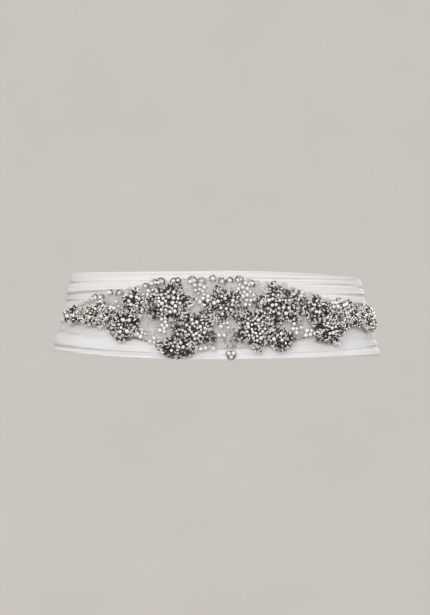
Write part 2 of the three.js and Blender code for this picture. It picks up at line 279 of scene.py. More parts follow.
def fine_creases(turn, height):
    """How far the fine creases and a faint crinkle sink the cloth at turns and heights."""
    depth = np.zeros(np.broadcast(turn, height).shape)
    degrees = np.degrees(turn)
    for crease in FINE_CREASES:
        share = np.clip((degrees - crease["start"]) / (crease["end"] - crease["start"]), 0, 1)
        middle = crease["start_height"] + share * (crease["end_height"] - crease["start_height"])
        fading = np.sin(math.pi * share)
        depth += crease["depth"] * fading * np.exp(-(((height - middle) / crease["width"]) ** 2))
    wander = sum(reach * np.sin(waves * turn + phase) for reach, waves, phase in CRINKLE_WANDER)
    crinkle = np.sin(2 * math.pi * height / CRINKLE_SPACING + wander)
    return FINE_STRENGTH * depth + CRINKLE * (1 + crinkle)


print("deepest:", FINE_STRENGTH * max(crease["depth"] for crease in FINE_CREASES), "mm")

# %% [markdown]
# ## The lap at the back
# The two ends of the band lap at the centre back, the right one over the left. The left end eases in
# before the lap, so that it passes under without a step. Lengths at the back are turned into angles
# by the half width of the figure, where its oval is nearly flat.

# %% Lap
CLOTH_WALL = 1.4
LAP_LENGTH = 46
LAP_CLEARANCE = 0.6
LAP_STEP = CLOTH_WALL + LAP_CLEARANCE
LAP_EASE_LENGTH = 55


def back_turn(length):
    """The turn that a length spans at the centre back."""
    return length / figure("half_width", 0)


half_lap = back_turn(LAP_LENGTH / 2)
lap_start = math.pi - half_lap
lap_end = math.pi + half_lap


def lap_shift(turn):
    """The left end eases in under the right one."""
    share = np.clip((-turn - lap_start) / back_turn(LAP_EASE_LENGTH) + 1, 0, 1)
    return LAP_STEP * share * share * (3 - 2 * share)


print("half of the lap:", round(math.degrees(half_lap), 1), "degrees")

# %% [markdown]
# ## The chiffon band
# The band is one long cloth from end to end. A grid is the natural start for cloth: its columns are
# laid round the waist and its rows down over the folds, and its upper and lower edges are turned in,
# as the folded edges of a gathered band are. Solidify then gives it a thin wall. The UV map is
# written in real lengths along the cloth, so that the weave follows the folds.

# %% Section of the cloth
FOLD_STEPS = 17
EDGE_TURN = [(1.3, 2.8), (1.2, 1.5), (0.95, 0.6), (0.5, 0.1)]


def band_section(turn):
    """Heights and distances out of the cloth at each turn, from its lower edge to its upper one."""
    section = []
    floor = crease_floor(turn)
    steps = (1 - np.cos(math.pi * np.arange(FOLD_STEPS) / FOLD_STEPS)) / 2
    for crease, below in zip(CREASES, CREASES[1:]):
        upper, lower = crease_height(crease, turn), crease_height(below, turn)
        roll = fold_roll(crease, turn)
        for down in steps:
            out = roll * (floor + (1 - floor) * fold_profile(down))
            section.append((upper + (lower - upper) * down, out))
    section.append((lower, roll * floor))
    (top, top_out), (bottom, bottom_out) = section[0], section[-1]
    over = [(top - down, top_out - inward) for inward, down in EDGE_TURN]
    under = [(bottom + up, bottom_out - inward) for inward, up in reversed(EDGE_TURN)]
    heights, outs = (np.stack(values, axis=1) for values in zip(*(over + section + under)))
    return heights[:, ::-1], outs[:, ::-1]


print("points down the cloth:", band_section(np.zeros(1))[0].size)

# %% Chiffon band
CLOTH_THICKNESS = 0.5
BAND_COLUMNS = 300
BINDING_WIDTH = 9


def cloth_from_grid(name, points, laid=None):
    """A grid laid on an array of points by column and row, with a UV map in metres of cloth."""
    columns, rows = points.shape[:2]
    bpy.ops.object.select_all(action="DESELECT")
    bpy.ops.mesh.primitive_grid_add(x_subdivisions=columns - 1, y_subdivisions=rows - 1)
    piece = bpy.context.object
    piece.name = piece.data.name = name
    by_row = MM * points.transpose(1, 0, 2)
    piece.data.vertices.foreach_set("co", by_row.ravel())
    lengths = []
    for axis in (0, 1):
        steps = np.linalg.norm(np.diff(points, axis=axis), axis=2).mean(axis=1 - axis)
        lengths.append(MM * np.concatenate([[0], np.cumsum(steps)]))
    flat = np.stack(np.meshgrid(*lengths), axis=-1) if laid is None else MM * laid.transpose(1, 0, 2)
    corner = np.zeros(len(piece.data.loops), dtype=np.int32)
    piece.data.loops.foreach_get("vertex_index", corner)
    piece.data.uv_layers.active.data.foreach_set("uv", flat.reshape(-1, 2)[corner].ravel())
    piece.data.update()
    bpy.ops.object.shade_smooth()
    return piece, (float(lengths[0][-1]), float(lengths[1][-1]))


def solidify(piece, thickness):
    wall = piece.modifiers.new("wall", "SOLIDIFY")
    wall.thickness = MM * thickness
    wall.offset = -1
    bpy.ops.object.modifier_apply(modifier=wall.name)


band_end = lap_end - back_turn(BINDING_WIDTH)
band_turns = np.linspace(-band_end, band_end, BAND_COLUMNS)
heights, outs = band_section(band_turns)
turns = band_turns[:, None]
sunk = outs - fine_creases(turns, heights) - lap_shift(turns)
band, band_cut = cloth_from_grid("chiffon_band", figure_points(turns, heights, sunk))
# How far the cloth stands out is kept on its points, so the chiffon's colour can paint shade into the
# creases.
fold_share = np.clip(outs / LARGEST_ROLL, 0, 1).T.ravel().astype(np.float32)
band.data.attributes.new("fold", "FLOAT", "POINT").data.foreach_set("value", fold_share)
solidify(band, CLOTH_THICKNESS)
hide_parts("sash_front", "sash_back_left", "sash_back_right")
print("chiffon band:", [round(length, 3) for length in band_cut], "m of cloth")

# %% [markdown]
# ## Bindings of the two ends
# Each gathered end is closed by a narrow folded strip. A strip is a flat tube, so it starts from a
# grid whose first and last columns meet: the seam is merged and both ends are filled. Its section is
# a rounded oblong that follows the folds more flatly than the cloth does, because the strip is taut.

# %% End bindings
BINDING_SIDES = 28
SEAM_GAP = 0.3
MERGE_REACH = 0.01
BINDING_EXTRA = 1
BINDING_CORNER = 0.3
BINDING_FOLD_SHARE = 0.55


def make_binding(name, near_end, far_end, face, back, node):
    """A flat tube across the width of the binding, from its face to its back, down the band."""
    around = np.linspace(0, 2 * math.pi, BINDING_SIDES + 1)
    across = np.sign(np.sin(around)) * np.abs(np.sin(around)) ** BINDING_CORNER
    through = np.sign(np.cos(around)) * np.abs(np.cos(around)) ** BINDING_CORNER
    turn = (near_end + far_end) / 2 + across * (far_end - near_end) / 2
    heights, outs = band_section(turn)
    inner = slice(len(EDGE_TURN), -len(EDGE_TURN))
    heights, outs = heights[:, inner], outs[:, inner] * BINDING_FOLD_SHARE
    middle, half = (face - back) / 2, (face + back) / 2
    depth = outs + (middle + half * through - lap_shift(turn))[:, None]
    piece, cut = cloth_from_grid(name, figure_points(turn[:, None], heights, depth))
    bpy.ops.object.mode_set(mode="EDIT")
    bpy.ops.mesh.select_all(action="SELECT")
    bpy.ops.mesh.remove_doubles(threshold=MM * MERGE_REACH)
    bpy.ops.mesh.fill_holes(sides=0)
    bpy.ops.mesh.select_all(action="SELECT")
    bpy.ops.mesh.normals_make_consistent(inside=False)
    bpy.ops.object.mode_set(mode="OBJECT")
    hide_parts(node)
    return piece, cut


binding_start = band_end + back_turn(SEAM_GAP)
binding_over, over_cut = make_binding(
    "binding_over", binding_start, lap_end, BINDING_EXTRA, CLOTH_WALL, "end_binding_over"
)
binding_under, under_cut = make_binding(
    "binding_under", -lap_end, -binding_start, 0, CLOTH_WALL + BINDING_EXTRA, "end_binding_under"
)
print("bindings:", [round(length, 3) for length in over_cut + under_cut], "m")

# %% [markdown]
# ## The motifs
# The applique has fifteen motifs: eleven flowers, and leaves and sprays between them and at both tips.
# The table has a row for each, with its place along the band from the centre front, its height, half
# its length and height, its petals and the angle of the first, how many pearls it carries and how
# pale its beads are.

# %% Motifs
MOTIF_COLUMNS = ("name", "along", "height", "half_long", "half_tall", "petals", "first", "pearls", "pale")
MOTIF_ROWS = [
    ("spray_left_tip", -132, 2, 15, 7, 0, 0, 2, 0.7),
    ("bloom_left_outer", -104, 2, 14, 10.5, 5, 10, 4, 0.69),
    ("bloom_left_low", -75, -8, 14.5, 11.5, 5, -25, 6, 0.52),
    ("bloom_left_high", -70, 12.5, 11, 9.5, 5, 90, 7, 0.57),
    ("bloom_left_large", -39, 12, 18, 16, 5, 75, 24, 0.48),
    ("bloom_left_centre", -17, -11, 17, 14.5, 5, 40, 20, 0.54),
    ("leaf_left", -29, -25, 15, 9, 0, 0, 5, 0.42),
    ("bloom_centre", 7, 10, 16, 14, 5, 110, 10, 0.54),
    ("bloom_right_centre", 32, -10, 16, 17, 5, 60, 24, 0.52),
    ("leaf_right", 51, -18, 11, 9.5, 0, 0, 4, 0.48),
    ("bloom_right_large", 54, 10, 19, 17, 5, 30, 15, 0.52),
    ("bloom_right_high", 88, 6.5, 13, 10.5, 5, 90, 6, 0.48),
    ("bloom_right_low", 96, -11.5, 15, 11, 5, -70, 7, 0.52),
    ("bloom_right_outer", 123, 1.5, 13, 10.5, 5, 20, 5, 0.6),
    ("spray_right_tip", 149, -1, 17, 10.5, 0, 0, 3, 0.67),
]
MOTIFS = [dict(zip(MOTIF_COLUMNS, row)) for row in MOTIF_ROWS]
print("motifs:", len(MOTIFS))

# %% [markdown]
# ## The net ground
# The flowers are sewn to a long spindle of fine blush net that lies on the crests of the folds. Its
# edge swells around each flower, and scallops run along the upper edge. The net is a grid too: its
# columns stand along the band, and its rows are shared out between the two edges.

# %% Edge of the net
NET_WALL = 1
NET_GAP = 0.4
NET_TRIM = 0.8
NET_SPINDLE = {"half_length": 166, "upper": 29, "lower": -25, "middle": 1, "tip": 2.5}
SPINDLE_POWER = {"upper": {"left": 1.5, "right": 2}, "lower": {"left": 2.5, "right": 2}}
SCALLOP_PITCH = 8.2
SCALLOP_HEIGHT = 2.4


def net_out(turn):
    """The net lies on the crests of the folds."""
    return LARGEST_ROLL * fold_depth(turn) + NET_GAP


def spindle_edge(along, side):
    """The plain spindle's upper edge where side is 1, or its lower edge where side is -1."""
    powers = SPINDLE_POWER["upper" if side > 0 else "lower"]
    power = np.where(along < 0, powers["left"], powers["right"])
    taper = np.maximum(0, 1 - (along / NET_SPINDLE["half_length"]) ** 2) ** power
    reach = NET_SPINDLE["upper"] if side > 0 else NET_SPINDLE["lower"]
    return side * NET_SPINDLE["tip"] + taper * reach + NET_SPINDLE["middle"] * (1 - taper)


def motif_edge(along, side):
    """The furthest edge of the net that any motif asks for."""
    edge = np.full(np.shape(along), -np.inf)
    for motif in MOTIFS:
        offset = (along - motif["along"]) / (motif["half_long"] + NET_TRIM)
        inside = np.sqrt(np.maximum(0, 1 - offset**2))
        reach = side * motif["height"] + (motif["half_tall"] + NET_TRIM) * inside
        edge = np.maximum(edge, np.where(np.abs(offset) < 1, reach, -np.inf))
    return side * edge


def net_edge(along, side):
    edge = side * np.maximum(side * spindle_edge(along, side), side * motif_edge(along, side))
    scallop = SCALLOP_HEIGHT * np.abs(np.sin(math.pi * along / SCALLOP_PITCH))
    return edge + scallop if side > 0 else edge


print("edges at the centre front:", [round(float(net_edge(np.zeros(1), side)[0]), 1) for side in (-1, 1)])

# %% Net ground
NET_THICKNESS = 0.3
NET_COLUMNS, NET_ROWS = 330, 22
NET_EDGE_DROP, NET_EDGE_POWER = 0.7, 8
first, last = MOTIFS[0], MOTIFS[-1]
net_start = first["along"] - first["half_long"] - NET_TRIM
net_end = last["along"] + last["half_long"] + NET_TRIM
net_along = np.linspace(net_start, net_end, NET_COLUMNS)[:, None]
up = np.linspace(0, 1, NET_ROWS)[None, :]
net_heights = net_edge(net_along, -1) * (1 - up) + net_edge(net_along, 1) * up
hugging = NET_EDGE_DROP * np.abs(2 * up - 1) ** NET_EDGE_POWER
net_outs = net_out(turn_at(net_along)) + NET_WALL - hugging
net_points = figure_points(turn_at(net_along), net_heights, net_outs)
net_laid = np.stack([np.broadcast_to(net_along, net_heights.shape), net_heights], axis=-1)
net, net_cut = cloth_from_grid("tulle_ground", net_points, net_laid)
solidify(net, NET_THICKNESS)
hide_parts("applique_net")

# %% [markdown]
# ## The form of a motif
# Each flower, leaf and spray is padded up into a low dome with petals, and the beads lie on it. A
# place on a motif is a pair of offsets from its eye, along the band and up. One function gives the
# outline, held back where a neighbour crowds it, and one gives the dome, so the padding and every
# bead follow the same form.

# %% Outline of a motif
MOTIF_GAP = 0.35
PETAL_NOTCH = 0.24
SPRAY_POINT = 1.35


def motif_reach(motif, direction):
    """The outline in each direction from the eye, as offsets along and up."""
    cos, sin = np.cos(direction), np.sin(direction)
    if motif["petals"]:
        petal = np.abs(np.cos(motif["petals"] / 2 * (direction - math.radians(motif["first"]))))
        shape = 1 - PETAL_NOTCH * (1 - petal)
    else:
        shape = (np.abs(cos) ** SPRAY_POINT + np.abs(sin) ** SPRAY_POINT) ** (-1 / SPRAY_POINT)
    reach = np.stack([motif["half_long"] * cos * shape, motif["half_tall"] * sin * shape], axis=-1)
    share = np.ones(np.shape(direction))
    own_size = motif["half_long"] + motif["half_tall"]
    for other in MOTIFS:
        if other is motif:
            continue
        apart = np.array([other["along"] - motif["along"], other["height"] - motif["height"]])
        distance = np.linalg.norm(apart)
        other_size = other["half_long"] + other["half_tall"]
        limit = distance * own_size / (own_size + other_size) - MOTIF_GAP / 2
        towards = np.maximum(reach @ (apart / distance), limit)
        share = np.minimum(share, limit / towards)
    return reach * share[..., None]


def motif_polar(motif, offset):
    """The direction of each offset from the eye and its share of the outline's reach."""
    direction = np.arctan2(offset[..., 1] / motif["half_tall"], offset[..., 0] / motif["half_long"])
    reach = np.linalg.norm(motif_reach(motif, direction), axis=-1)
    return direction, np.linalg.norm(offset, axis=-1) / reach


print("gap between neighbours:", MOTIF_GAP, "mm")

# %% Dome of a motif
MOTIF_RISE = 3.4
PADDING_SHARE = 0.5
PETAL_RIDGE = 0.18
CROWN_REACH = (0, 0.4, 0.78, 1)
CROWN_RISE = (0.5, 1, 0.86, 0.34)
SLOPE_STEP = 0.2


def padding_points(motif, offset):
    """Points on the padding of a motif at offsets from its eye."""
    direction, share = motif_polar(motif, offset)
    petal = np.cos(motif["petals"] * (direction - math.radians(motif["first"])))
    ridge = 1 - PETAL_RIDGE * (1 - petal) * share
    rise = PADDING_SHARE * MOTIF_RISE * ridge * np.interp(share, CROWN_REACH, CROWN_RISE)
    turn = turn_at(motif["along"] + offset[..., 0])
    out = net_out(turn) + NET_WALL + MOTIF_GAP + rise
    return figure_points(turn, motif["height"] + offset[..., 1], out)


def surface_axes(points_at, offset):
    """Directions along, up and out of a surface at offsets on it."""
    here = points_at(offset)
    along = points_at(offset + np.array([SLOPE_STEP, 0])) - here
    up = points_at(offset + np.array([0, SLOPE_STEP])) - here
    out = np.cross(along, up)
    along, out = (v / np.linalg.norm(v, axis=-1, keepdims=True) for v in (along, out))
    return along, np.cross(out, along), out


print("rise of the padding:", PADDING_SHARE * MOTIF_RISE, "mm")

# %% [markdown]
# ## Padding of the motifs
# The padding under the beads is a shallow cushion, coloured dark as painted shade between the beads.
# A sphere has the right faces for it: its upper half becomes the dome and its lower half the flat sole
# on the net.

# %% Padding
PADDING_SEGMENTS, PADDING_RINGS = 60, 20
PADDING_REACH = 0.92
paddings = {}
for motif in MOTIFS:
    bpy.ops.object.select_all(action="DESELECT")
    bpy.ops.mesh.primitive_uv_sphere_add(segments=PADDING_SEGMENTS, ring_count=PADDING_RINGS, radius=1)
    padding = bpy.context.object
    padding.name = padding.data.name = motif["name"] + "_padding"
    ball = np.zeros(3 * len(padding.data.vertices), dtype=np.float32)
    padding.data.vertices.foreach_get("co", ball)
    ball = ball.reshape(-1, 3).astype(float)
    direction = np.arctan2(ball[:, 1], ball[:, 0])
    share = np.clip(np.hypot(ball[:, 0], ball[:, 1]), 0, 1)
    offset = motif_reach(motif, direction) * PADDING_REACH * share[:, None]
    dome = padding_points(motif, offset)
    turn = turn_at(motif["along"] + offset[:, 0])
    sole = figure_points(turn, motif["height"] + offset[:, 1], net_out(turn) + NET_WALL + MOTIF_GAP / 2)
    placed = np.where(ball[:, 2:] >= 0, dome, sole)
    padding.data.vertices.foreach_set("co", (MM * placed).ravel())
    padding.data.update()
    bpy.ops.object.shade_smooth()
    paddings[motif["name"]] = padding
print("paddings:", len(paddings))

# %% [markdown]
# ## Bead shapes
# Four shapes make the whole applique: cut bugle beads, round seed beads, drilled pearls and faceted
# stones. Each is modelled once at a size of one, with its hole or its face along its own Z, and kept
# as points and triangles. Hundreds of copies are then joined into one mesh, so a shape has only a
# few dozen faces.

# %% Bugle bead
BUGLE_SIDES = 6
BUGLE_BEVEL = 0.14
BUGLE_END = 0.49


def bead_shape(smooth):
    """Take the active object as a bead shape: its points, its triangles and how it is shaded."""
    bpy.ops.object.mode_set(mode="EDIT")
    bpy.ops.mesh.select_all(action="SELECT")
    bpy.ops.mesh.normals_make_consistent(inside=False)
    bpy.ops.mesh.quads_convert_to_tris()
    bpy.ops.object.mode_set(mode="OBJECT")
    model = bpy.context.object
    points = np.array([vertex.co for vertex in model.data.vertices])
    triangles = np.array([list(face.vertices) for face in model.data.polygons])
    bpy.ops.object.delete()
    return {"points": points, "triangles": triangles, "smooth": smooth}


def select_edges(chosen):
    """Select the edges of the active object, in edit mode, whose two ends both satisfy a test."""
    bpy.ops.object.mode_set(mode="OBJECT")
    mesh = bpy.context.object.data
    for edge in mesh.edges:
        edge.select = all(chosen(mesh.vertices[i].co) for i in edge.vertices)
    bpy.ops.object.mode_set(mode="EDIT")


bpy.ops.object.select_all(action="DESELECT")
bpy.ops.mesh.primitive_cylinder_add(vertices=BUGLE_SIDES, radius=1, depth=1)
bpy.ops.object.mode_set(mode="EDIT")
bpy.ops.mesh.select_mode(type="EDGE")
bpy.ops.mesh.select_all(action="DESELECT")
select_edges(lambda co: abs(co.z) > BUGLE_END)
bpy.ops.mesh.bevel(offset=BUGLE_BEVEL, segments=1)
BUGLE = bead_shape(smooth=False)
print("bugle:", len(BUGLE["triangles"]), "faces")

# %% Seed bead
SEED_HOLE = 0.36
SEED_SEGMENTS, SEED_RINGS = 8, 4
seed_wall = (1 - SEED_HOLE) / 2
bpy.ops.mesh.primitive_torus_add(
    major_segments=SEED_SEGMENTS,
    minor_segments=SEED_RINGS,
    major_radius=1 - seed_wall,
    minor_radius=seed_wall,
)
bpy.ops.object.mode_set(mode="EDIT")
bpy.ops.mesh.select_all(action="SELECT")
bpy.ops.transform.resize(value=(1, 1, 1 / (2 * seed_wall)))
SEED = bead_shape(smooth=True)
print("seed:", len(SEED["triangles"]), "faces")

# %% Pearl
PEARL_SEGMENTS, PEARL_RINGS = 10, 7
PEARL_POLE = 0.999
DRILL_DEPTH = 0.86
bpy.ops.mesh.primitive_uv_sphere_add(segments=PEARL_SEGMENTS, ring_count=PEARL_RINGS, radius=1)
for vertex in bpy.context.object.data.vertices:
    if abs(vertex.co.z) > PEARL_POLE:
        vertex.co.z *= DRILL_DEPTH
PEARL = bead_shape(smooth=True)
print("pearl:", len(PEARL["triangles"]), "faces")

# %% Stone
STONE_SIDES = 8
STONE_TABLE = 0.55
STONE_CROWN = 0.5
bpy.ops.mesh.primitive_cone_add(vertices=STONE_SIDES, radius1=1, radius2=STONE_TABLE, depth=STONE_CROWN)
half_side = math.pi / STONE_SIDES
for vertex in bpy.context.object.data.vertices:
    if vertex.co.z > 0:
        x, y = vertex.co.x, vertex.co.y
        vertex.co.x = x * math.cos(half_side) - y * math.sin(half_side)
        vertex.co.y = x * math.sin(half_side) + y * math.cos(half_side)
STONE = bead_shape(smooth=False)
print("stone:", len(STONE["triangles"]), "faces")

# %% [markdown]
# ## Joining beads into one mesh
# A lot is one bead shape with its places: the centre of each copy, the three directions of its own
# axes, its three sizes and how pale it is. All the lots of a piece become one mesh, and a tone is
# kept on its points, so that one material can make each bead a little different.

# %% Joining beads


def lot(shape, centre, axes, sizes, pale):
    """One bead shape at many places. The axes are the directions of its own X, Y and Z."""
    return {"shape": shape, "centre": centre, "axes": axes, "sizes": sizes, "pale": pale}


def join_beads(name, lots):
    points, triangles, tones, smooth = [], [], [], []
    start = 0
    for beads in lots:
        shape = beads["shape"]
        own = shape["points"][None] * np.broadcast_to(beads["sizes"], (len(beads["centre"]), 3))[:, None]
        placed = beads["centre"][:, None] + np.einsum("nvk,knj->nvj", own, np.stack(beads["axes"]))
        count, size = placed.shape[:2]
        shifted = shape["triangles"][None] + size * np.arange(count)[:, None, None] + start
        points.append(placed.reshape(-1, 3))
        triangles.append(shifted.reshape(-1, 3))
        tones.append(np.repeat(beads["pale"], size))
        smooth.append(np.full(len(triangles[-1]), shape["smooth"]))
        start += count * size
    mesh = bpy.data.meshes.new(name)
    mesh.from_pydata(MM * np.concatenate(points), [], np.concatenate(triangles))
    mesh.polygons.foreach_set("use_smooth", np.concatenate(smooth))
    tone = mesh.attributes.new("tone", "FLOAT", "POINT")
    tone.data.foreach_set("value", np.concatenate(tones).astype(np.float32))
    piece = bpy.data.objects.new(name, mesh)
    bpy.context.scene.collection.objects.link(piece)
    print(name, len(mesh.polygons), "faces")
    return piece


# %% [markdown]
# ## Stitches of the closing
# The binding on top is sewn down with a row of ivory running stitches near each of its edges. A
# stitch is a short length of thread, so the bugle's shape is stretched into a fine bar that follows
# the face of the binding, and the whole row is one joined mesh.

# %% Stitches
STITCH_RADIUS = 0.22
STITCH_LENGTH = 2.3
STITCH_SPACING = 3.4
STITCH_INSET = 1.6
STITCH_MARGIN = 3


def on_binding(turn, height):
    """Points on the face of the upper binding at one turn."""
    heights, outs = band_section(np.array([turn]))
    inner = slice(len(EDGE_TURN), -len(EDGE_TURN))
    out = BINDING_EXTRA + BINDING_FOLD_SHARE * np.interp(height, heights[0, inner], outs[0, inner])
    return figure_points(turn, height, out)


stitch_lots = []
stitch_inset = back_turn(STITCH_INSET)
for turn in (binding_start + stitch_inset, lap_end - stitch_inset):
    edges = band_section(np.array([turn]))[0][0]
    middles = np.arange(edges.min() + STITCH_MARGIN, edges.max() - STITCH_MARGIN, STITCH_SPACING)
    lower, upper = (on_binding(turn, middles + side * STITCH_LENGTH / 2) for side in (-1, 1))
    along = (upper - lower) / np.linalg.norm(upper - lower, axis=1, keepdims=True)
    outward = (upper + lower) * np.array([1, 1, 0])
    across = np.cross(outward, along)
    across = across / np.linalg.norm(across, axis=1, keepdims=True)
    sizes = np.tile([STITCH_RADIUS, STITCH_RADIUS, STITCH_LENGTH], (len(middles), 1))
    axes = (across, np.cross(along, across), along)
    stitch_lots.append(lot(BUGLE, (lower + upper) / 2, axes, sizes, np.full(len(middles), 1)))
stitches = join_beads("binding_stitches", stitch_lots)

# %% [markdown]
# ## Strewing beads
# Beads are sewn on one by one, and each takes a place that is clear of those before it. Bugles run
# out from an eye and tilt a little, so they catch the light in different ways. More of them lie on
# top, and small seed beads fill the gaps. Bright and dark beads are mixed, as in the real applique.

# %% Kinds of bead
PEARL_RADIUS = (1.15, 1.95)
BEAD_COLUMNS = ("shape", "tries", "radius", "length", "tilt", "above", "bright")
BEAD_ROWS = [
    (BUGLE, 0.1, (0.5, 0.6), (1.9, 2.9), 0, (0.5, 1), 1.1),
    (SEED, 1, (0.8, 1.25), (1, 1.5), 90, (0.5, 1.1), 1.25),
    (SEED, 1, (0.4, 0.6), (0.8, 1), 0, (0.2, 0.7), 0.5),
]
BEAD_KINDS = [dict(zip(BEAD_COLUMNS, row)) for row in BEAD_ROWS]
print("kinds of bead:", len(BEAD_KINDS))

# %% Places and tones
CROWDING = 0.88
BRIGHT_TONES, DARK_TONES = (0.82, 1), (0, 0.18)


def settle(taken, places, headings, lengths, radii, most=None):
    """Which beads, in order, find room beside those already there. Their own room is then taken."""
    kept = []
    for k, place in enumerate(places):
        if len(kept) == most:
            break
        half = lengths[k] / 2 - radii[k]
        step = half * np.array([math.cos(headings[k]), math.sin(headings[k])])
        spots = place + np.outer((-1, 0, 1), step)
        gaps = np.linalg.norm(spots[:, None] - taken[None, :, :2], axis=2) - taken[:, 2]
        if (gaps > CROWDING * radii[k]).all():
            kept.append(k)
            taken = np.vstack([taken, np.column_stack([spots, np.full(3, radii[k])])])
    return kept, taken


def bead_tones(rng, pale, count):
    """Tones of bright beads among dark ones."""
    bright = rng.uniform(size=count) < pale
    return np.where(bright, rng.uniform(*BRIGHT_TONES, count), rng.uniform(*DARK_TONES, count))


def bead_lot(points_at, shape, places, headings, sizes, above, tones, tilt=0):
    """Beads on a surface, with their holes along headings in it, tilted up from it."""
    along, up, out = surface_axes(points_at, places)
    headings, above, tilt = (np.broadcast_to(v, len(places))[:, None] for v in (headings, above, tilt))
    level = along * np.cos(headings) + up * np.sin(headings)
    hole = level * np.cos(tilt) + out * np.sin(tilt)
    side = np.cross(out, level)
    return lot(shape, points_at(places) + above * out, (side, np.cross(hole, side), hole), sizes, tones)


def ball_lot(points_at, rng, places, radii, sunk):
    """Pearls on a surface, sunk a little among the beads."""
    headings = rng.uniform(0, math.pi, len(places))
    sizes = np.repeat(radii[:, None], 3, axis=1)
    return bead_lot(points_at, PEARL, places, headings, sizes, radii - sunk, rng.uniform(0, 1, len(places)))


print("beads keep apart by", CROWDING, "of a radius")

# %% Strewing beads
LAYER_ROWS = [(0, 1), (0.9, 0.3)]
HEADING_SPREAD = math.radians(26)
TILT_SPREAD = math.radians(20)


def strew(points_at, rng, places, eye, pale, pearls):
    """Lots of each kind of bead in two layers around the pearls, with bugles running out from an eye."""
    lots = []
    for raised, share in LAYER_ROWS:
        taken = pearls
        for kind in BEAD_KINDS:
            count = int(share * kind["tries"] * len(places))
            tried = rng.permutation(places)[:count]
            headings = np.arctan2(*(tried - eye).T[::-1]) + rng.normal(0, HEADING_SPREAD, count)
            radii = rng.uniform(*kind["radius"], count)
            lengths = rng.uniform(*kind["length"], count)
            kept, taken = settle(taken, tried, headings, np.maximum(lengths, 2 * radii), radii)
            sizes = np.column_stack([radii, radii, lengths])[kept]
            above = raised + rng.uniform(*kind["above"], len(kept))
            tones = bead_tones(rng, pale * kind["bright"], len(kept))
            tilt = math.radians(kind["tilt"]) + rng.normal(0, TILT_SPREAD, len(kept))
            beads = bead_lot(
                points_at, kind["shape"], tried[kept], headings[kept], sizes, above, tones, tilt
            )
            lots.append(beads)
    return lots


print("layers of beads:", len(LAYER_ROWS))

# %% [markdown]
# ## Beading the motifs
# A beader sets a stone in the eye, gathers pearls around it, and fills the petals out to their tips
# with bugles and seed beads. A leaf or spray has no stone, and its bugles fan out from one end.
# Every motif has a random seed of its own, so the result is the same each run.

# %% Beading the motifs
STONE_RADIUS = 1.8
PEARL_ZONE = 0.6
PEARL_TRIES, BEAD_TRIES = 500, 2200
FIRST_SEED = 100
STONE_TONE = 0.5
PEARL_SUNK = 0.1
PETAL_TIP, PETAL_POINT = 0.2, 3
motif_pieces = {}


def bead_reach(motif, direction):
    """How far beads reach: to the outline between petals, and past it at the petal tips."""
    petal = np.abs(np.cos(motif["petals"] / 2 * (direction - math.radians(motif["first"]))))
    share = 1 + PETAL_TIP * petal**PETAL_POINT
    return motif_reach(motif, direction) * share[..., None]


for index, motif in enumerate(MOTIFS):
    rng = np.random.default_rng(FIRST_SEED + index)

    def on_padding(offset, motif=motif):
        return padding_points(motif, offset)

    bloom = motif["petals"] > 0
    eye = np.zeros(2)
    if not bloom:
        eye[0] = -math.copysign(motif["half_long"], motif["along"])
    taken = np.array([[0, 0, STONE_RADIUS if bloom else 0]])
    spread = rng.uniform(0, 2 * math.pi, PEARL_TRIES)
    places = motif_reach(motif, spread) * PEARL_ZONE * np.sqrt(rng.uniform(0, 1, (PEARL_TRIES, 1)))
    radii = rng.uniform(*PEARL_RADIUS, PEARL_TRIES)
    kept, taken = settle(taken, places, spread, 2 * radii, radii, motif["pearls"])
    pearl_lot = ball_lot(on_padding, rng, places[kept], radii[kept], PEARL_SUNK)
    spread = rng.uniform(0, 2 * math.pi, BEAD_TRIES)
    places = bead_reach(motif, spread) * np.sqrt(rng.uniform(0, 1, (BEAD_TRIES, 1)))
    lots = strew(on_padding, rng, places, eye, motif["pale"], taken)
    pieces = {
        "beads": join_beads(motif["name"] + "_beads", lots),
        "pearls": join_beads(motif["name"] + "_pearls", [pearl_lot]),
    }
    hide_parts(motif["name"])
    if bloom:
        axes = surface_axes(on_padding, eye[None])
        centre = on_padding(eye[None]) + STONE_RADIUS * STONE_CROWN * axes[2]
        stone_lot = lot(STONE, centre, axes, np.full((1, 3), STONE_RADIUS), [STONE_TONE])
        pieces["stone"] = join_beads(motif["name"] + "_stone", [stone_lot])
    motif_pieces[motif["name"]] = pieces
print("beaded motifs:", len(motif_pieces))

# %% [markdown]
# ## Trails and patches
# Pearls lie on the net in loose trails between the flowers, and where flowers almost meet, a patch of
# beads joins them. They are listed: along the band, up it, and half their length and height.
# The last column is a trail's number of pearls, or how pale a patch is.

# %% Trails and patches
TRAIL_COLUMNS = ("along", "height", "half_long", "half_tall", "pearls")
TRAIL_ROWS = [
    (-14, 24, 4.5, 5, 8),
    (-11, 15, 5, 6, 9),
    (23, 24, 4.5, 5, 7),
    (28, 15, 5, 6.5, 9),
    (8, -7.5, 4, 2.5, 4),
    (5, -15, 2.5, 2.5, 2),
    (-60, -15, 5, 2.5, 4),
    (-49, -20, 4.5, 2, 4),
    (-42, -7.5, 4.5, 6.5, 8),
    (-11, -26.5, 10, 2, 6),
    (67, -9, 4, 7, 7),
    (77, -14, 6, 2.5, 5),
    (-88, 9, 4, 5, 4),
    (-56, 20, 6, 3, 5),
    (74, 19, 6, 3, 4),
    (108, 10, 4, 3, 4),
]
TRAILS = [dict(zip(TRAIL_COLUMNS, row)) for row in TRAIL_ROWS]
PATCH_COLUMNS = ("along", "height", "half_long", "half_tall", "pale")
